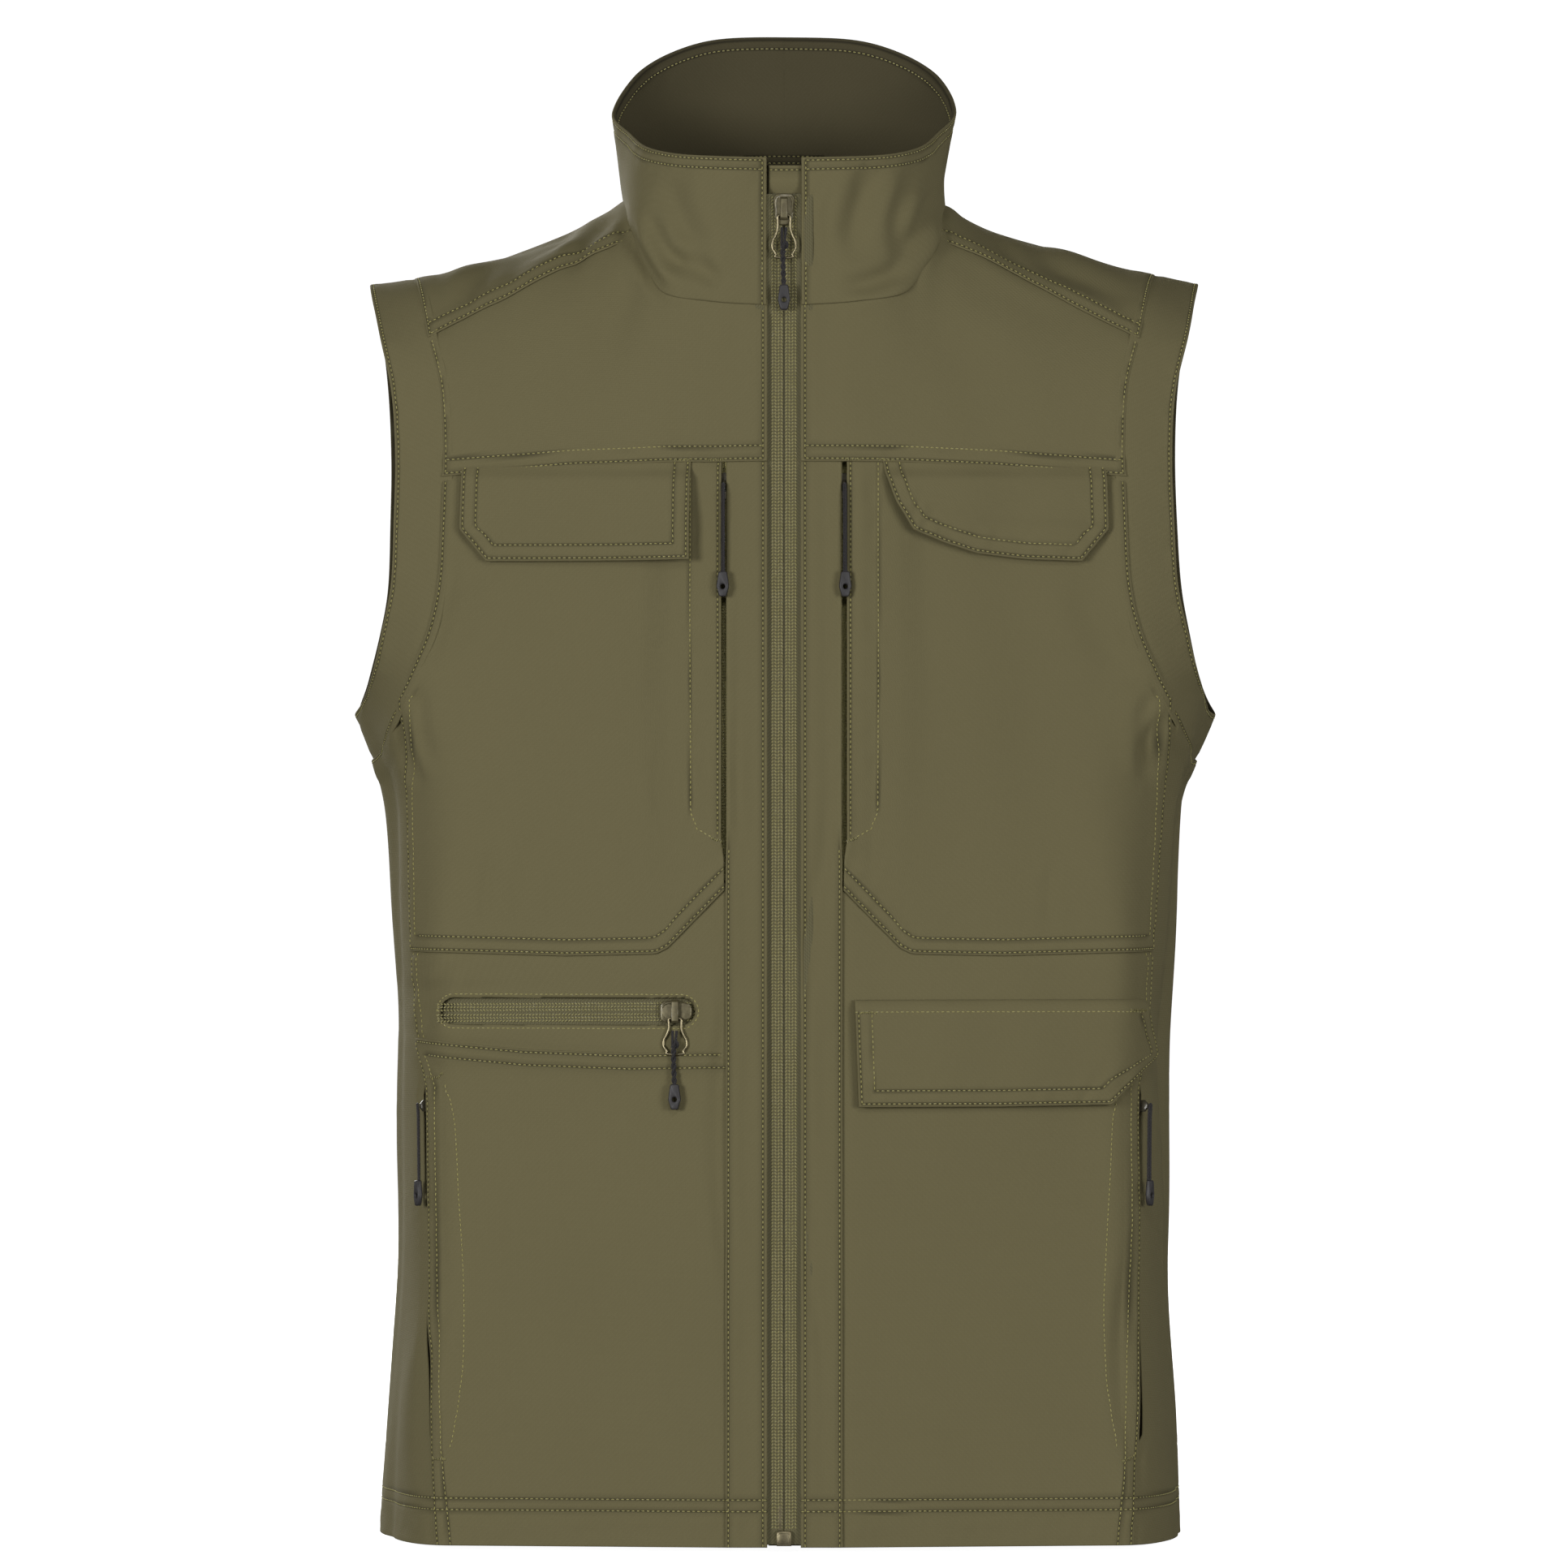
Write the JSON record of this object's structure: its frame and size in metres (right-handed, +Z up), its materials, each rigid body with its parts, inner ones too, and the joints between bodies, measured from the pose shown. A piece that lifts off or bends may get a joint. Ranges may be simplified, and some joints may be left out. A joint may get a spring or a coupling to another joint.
{
  "type": "fishing vest",
  "caption": "Sleeveless olive fishing vest with a stand collar, a separating front zip, flapped and zipped chest pockets, lower pockets and side hand pockets.",
  "frame": {"origin": "middle of the vest at hem level", "axes": "+Z up, -Y out of the front, +X to the wearer's left"},
  "size_m": [0.4518, 0.2563, 0.7901],
  "materials": {
    "shell_fabric": "olive woven softshell with a soft sheen, topstitched",
    "lining": "dark olive plain woven lining",
    "zip_tape": "olive woven zip tape with a nylon coil",
    "zip_metal": "olive painted die-cast metal",
    "pull_wire": "antique nickel wire",
    "cord": "dark grey braided cord",
    "cord_end": "charcoal moulded plastic"
  },
  "bodies": {
    "shell": {"back_panel": "shell_fabric", "back_yoke": "shell_fabric", "hanger_loop": "lining", "collar_back": "shell_fabric", "armhole_band_rear_right": "shell_fabric", "shoulder_yoke_right": "shell_fabric", "side_panel_right": "shell_fabric", "armhole_band_rear_left": "shell_fabric", "shoulder_yoke_left": "shell_fabric", "side_panel_left": "shell_fabric"},
    "right_front": {"collar_front_right": "shell_fabric", "armhole_band_front_right": "shell_fabric", "chest_yoke_right": "shell_fabric", "chest_pocket_right": "shell_fabric", "lower_front_right": "shell_fabric", "placket_right": "shell_fabric", "chest_bag_right": "lining", "hand_bag_right": "lining", "main_tape_right": "zip_tape", "main_coil_right": "zip_tape", "chest_zip_tape_right": "zip_tape", "hand_zip_tape_right": "zip_tape", "zip_insertion_pin": "zip_metal", "lower_zip_tape": "zip_tape", "lower_zip_bag_right": "lining"},
    "right_chest_flap": {"chest_flap_right": "shell_fabric"},
    "right_chest_slider": {"chest_zip_slider_right": "zip_metal"},
    "right_chest_pull": {"chest_zip_pull_right": "cord_end"},
    "right_hand_slider": {"hand_zip_slider_right": "zip_metal"},
    "right_hand_pull": {"hand_zip_pull_right": "cord_end"},
    "left_front": {"collar_front_left": "shell_fabric", "armhole_band_front_left": "shell_fabric", "chest_yoke_left": "shell_fabric", "chest_pocket_left": "shell_fabric", "lower_front_left": "shell_fabric", "placket_left": "shell_fabric", "chest_bag_left": "lining", "hand_bag_left": "lining", "main_tape_left": "zip_tape", "main_coil_left": "zip_tape", "chest_zip_tape_left": "zip_tape", "hand_zip_tape_left": "zip_tape", "zip_retainer_box": "zip_metal", "zip_facing": "shell_fabric", "lower_flap_bag_left": "lining"},
    "left_chest_flap": {"chest_flap_left": "shell_fabric"},
    "left_chest_slider": {"chest_zip_slider_left": "zip_metal"},
    "left_chest_pull": {"chest_zip_pull_left": "cord_end"},
    "left_hand_slider": {"hand_zip_slider_left": "zip_metal"},
    "left_hand_pull": {"hand_zip_pull_left": "cord_end"},
    "lower_flap": {"lower_flap_left": "shell_fabric"},
    "main_zip_slider": {"main_slider": "zip_metal"},
    "main_zip_pull": {"main_pull": "pull_wire", "main_pull_cord": "cord", "main_pull_end": "cord_end"},
    "lower_slider": {"lower_zip_slider": "zip_metal"},
    "lower_pull": {"lower_zip_pull": "pull_wire", "lower_zip_pull_cord": "cord", "lower_zip_pull_end": "cord_end"}
  },
  "joints": [
    {"name": "right_front_open", "type": "hinge", "parent": "shell", "child": "right_front", "pos_m": [-0.226, 0, 0.35], "axis": [0, 0, -1], "range_deg": [0, 30]},
    {"name": "left_front_open", "type": "hinge", "parent": "shell", "child": "left_front", "pos_m": [0.226, 0, 0.35], "axis": [0, 0, 1], "range_deg": [0, 30]},
    {"name": "main_zip_slide", "type": "slide", "parent": "left_front", "child": "main_zip_slider", "axis": [0, -0.0582, -0.9983], "range_m": [0, 0.66]},
    {"name": "main_pull_flip", "type": "hinge", "parent": "main_zip_slider", "child": "main_zip_pull", "pos_m": [0, -0.0898, 0.68752], "axis": [-1, 0, 0], "range_deg": [0, 120]},
    {"name": "right_chest_flap_lift", "type": "hinge", "parent": "right_front", "child": "right_chest_flap", "pos_m": [-0.10824, -0.09022, 0.55721], "axis": [-0.9929, 0.1191, 0], "range_deg": [0, 150]},
    {"name": "right_chest_zip_slide", "type": "slide", "parent": "right_front", "child": "right_chest_slider", "axis": [0, -0.0582, -0.9983], "range_m": [0, 0.176]},
    {"name": "right_chest_pull_flip", "type": "hinge", "parent": "right_chest_slider", "child": "right_chest_pull", "pos_m": [-0.03139, -0.0975, 0.5476], "axis": [-0.9929, 0.1187, -0.0069], "range_deg": [0, 150]},
    {"name": "right_hand_zip_slide", "type": "slide", "parent": "right_front", "child": "right_hand_slider", "axis": [0.0134, -0.1135, -0.9934], "range_m": [0, 0.16]},
    {"name": "right_hand_pull_flip", "type": "hinge", "parent": "right_hand_slider", "child": "right_hand_pull", "pos_m": [-0.1899, -0.08142, 0.2262], "axis": [-0.4542, 0.8844, -0.1071], "range_deg": [0, 120]},
    {"name": "left_chest_flap_lift", "type": "hinge", "parent": "left_front", "child": "left_chest_flap", "pos_m": [0.10824, -0.09022, 0.55721], "axis": [-0.9929, -0.1191, 0], "range_deg": [0, 150]},
    {"name": "left_chest_zip_slide", "type": "slide", "parent": "left_front", "child": "left_chest_slider", "axis": [0, -0.0582, -0.9983], "range_m": [0, 0.176]},
    {"name": "left_chest_pull_flip", "type": "hinge", "parent": "left_chest_slider", "child": "left_chest_pull", "pos_m": [0.03139, -0.0975, 0.5476], "axis": [-0.9929, -0.1187, 0.0069], "range_deg": [0, 150]},
    {"name": "left_hand_zip_slide", "type": "slide", "parent": "left_front", "child": "left_hand_slider", "axis": [-0.0134, -0.1135, -0.9934], "range_m": [0, 0.16]},
    {"name": "left_hand_pull_flip", "type": "hinge", "parent": "left_hand_slider", "child": "left_hand_pull", "pos_m": [0.1899, -0.08142, 0.2262], "axis": [-0.4542, -0.8844, 0.1071], "range_deg": [0, 120]},
    {"name": "lower_flap_lift", "type": "hinge", "parent": "left_front", "child": "lower_flap", "pos_m": [0.11647, -0.10713, 0.28182], "axis": [-0.9929, -0.1191, 0], "range_deg": [0, 150]},
    {"name": "lower_zip_slide", "type": "slide", "parent": "right_front", "child": "lower_slider", "axis": [-0.9929, 0.1187, -0.0069], "range_m": [0, 0.1]},
    {"name": "lower_pull_flip", "type": "hinge", "parent": "lower_slider", "child": "lower_pull", "pos_m": [-0.05623, -0.1109, 0.27202], "axis": [-0.9929, 0.1187, -0.0069], "range_deg": [0, 120]}
  ],
  "couplings": [
    {"joint": "left_front_open", "follows": "right_front_open", "ratio": 1},
    {"joint": "main_zip_slide", "follows": "right_front_open", "m_per_rad": 1.26}
  ]
}
